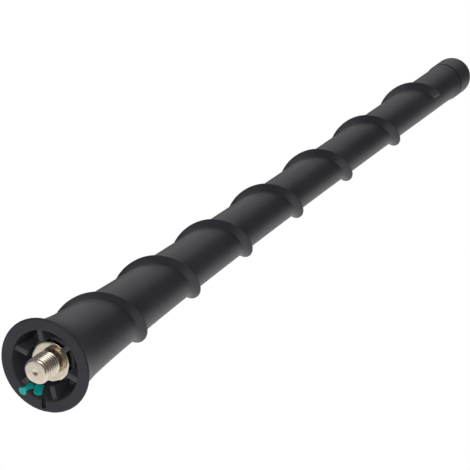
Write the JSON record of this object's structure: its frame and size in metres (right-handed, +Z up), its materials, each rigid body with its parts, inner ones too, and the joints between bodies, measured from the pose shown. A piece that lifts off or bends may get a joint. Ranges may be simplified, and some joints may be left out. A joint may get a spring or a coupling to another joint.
{
  "type": "roof antenna mast",
  "caption": "Screw-in car roof antenna mast: tapered black rubber stem with a helical fin, bell foot with ribbed recess, plated threaded stud and rounded end cap.",
  "frame": {"origin": "centre of the foot's seat ring, on the mast's axis, in the plane that seats on the base", "axes": "+Z up the mast from foot to tip; the helical fin starts on the +X side of the bell; -Y faces the camera of the picture"},
  "size_m": [0.0216, 0.0216, 0.2098],
  "materials": {
    "sheath_rubber": "moulded thermoplastic rubber, satin, near black",
    "cap_rubber": "moulded thermoplastic rubber, satin, near black",
    "stud_nickel": "turned, warm nickel plate",
    "rod_glass_fibre": "drawn glass-fibre rod",
    "winding_copper": "enamelled copper wire",
    "sleeve_film": "shrink tube",
    "solder_tin": "tin solder"
  },
  "bodies": {
    "root": {"mast_sheath": "sheath_rubber", "tip_cap": "cap_rubber", "threaded_stud": "stud_nickel", "core_rod": "rod_glass_fibre", "radiator_winding": "winding_copper", "winding_sleeve": "sleeve_film", "solder_joint": "solder_tin"}
  },
  "joints": []
}
